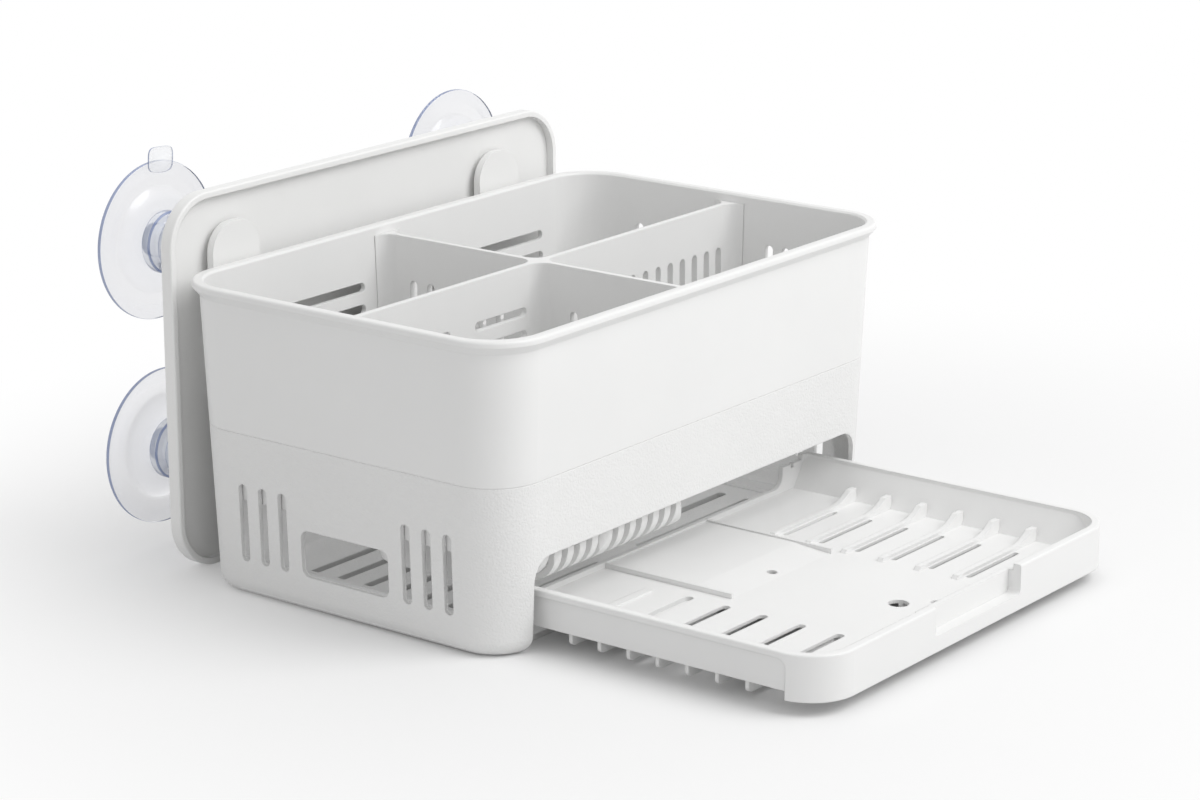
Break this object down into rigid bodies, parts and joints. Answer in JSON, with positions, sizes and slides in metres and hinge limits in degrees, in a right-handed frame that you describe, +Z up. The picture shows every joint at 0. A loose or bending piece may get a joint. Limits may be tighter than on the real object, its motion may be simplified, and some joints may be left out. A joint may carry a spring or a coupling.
{
  "type": "kitchen sink caddy",
  "caption": "Tapered rounded caddy bin with a lift-out cross divider, slotted base and pull-out drip tray, hung on a wall plate held by suction cups.",
  "frame": {"origin": "middle of the base's underside, on the surface that the caddy stands on", "axes": "+X along the bin's long side, -Y towards the front where the tray comes out, +Y towards the wall plate and its cups, +Z up"},
  "size_m": [0.25, 0.3164, 0.1579],
  "materials": {
    "smooth_white": "satin white moulded polypropylene",
    "textured_white": "fine-grained white moulded polypropylene",
    "tray_white": "satin white moulded polypropylene",
    "plate_white": "satin white moulded polypropylene",
    "clear_pvc": "clear flexible PVC"
  },
  "bodies": {
    "plate": {"wall_plate": "plate_white"},
    "caddy": {"storage_bin": "smooth_white", "base_shell": "textured_white"},
    "divider": {"cross_divider": "smooth_white"},
    "tray": {"drip_tray": "tray_white"},
    "cup_upper_left": {"suction_cup_upper_left": "clear_pvc"},
    "cup_upper_right": {"suction_cup_upper_right": "clear_pvc"},
    "cup_lower_left": {"suction_cup_lower_left": "clear_pvc"},
    "cup_lower_right": {"suction_cup_lower_right": "clear_pvc"}
  },
  "joints": [
    {"name": "caddy_lift", "type": "slide", "parent": "plate", "child": "caddy", "axis": [0, 0, 1], "range_m": [0, 0.025]},
    {"name": "divider_lift", "type": "slide", "parent": "caddy", "child": "divider", "axis": [0, 0, 1], "range_m": [0, 0.085]},
    {"name": "tray_slide", "type": "slide", "parent": "caddy", "child": "tray", "axis": [0, -1, 0], "range_m": [-0.12, 0]},
    {"name": "cup_upper_left_turn", "type": "hinge", "parent": "plate", "child": "cup_upper_left", "pos_m": [-0.0885, 0.0911, 0.1215], "axis": [0, 1, 0], "continuous": true},
    {"name": "cup_upper_right_turn", "type": "hinge", "parent": "plate", "child": "cup_upper_right", "pos_m": [0.0885, 0.0911, 0.1215], "axis": [0, 1, 0], "continuous": true},
    {"name": "cup_lower_left_turn", "type": "hinge", "parent": "plate", "child": "cup_lower_left", "pos_m": [-0.0885, 0.0911, 0.0395], "axis": [0, 1, 0], "continuous": true},
    {"name": "cup_lower_right_turn", "type": "hinge", "parent": "plate", "child": "cup_lower_right", "pos_m": [0.0885, 0.0911, 0.0395], "axis": [0, 1, 0], "continuous": true}
  ]
}
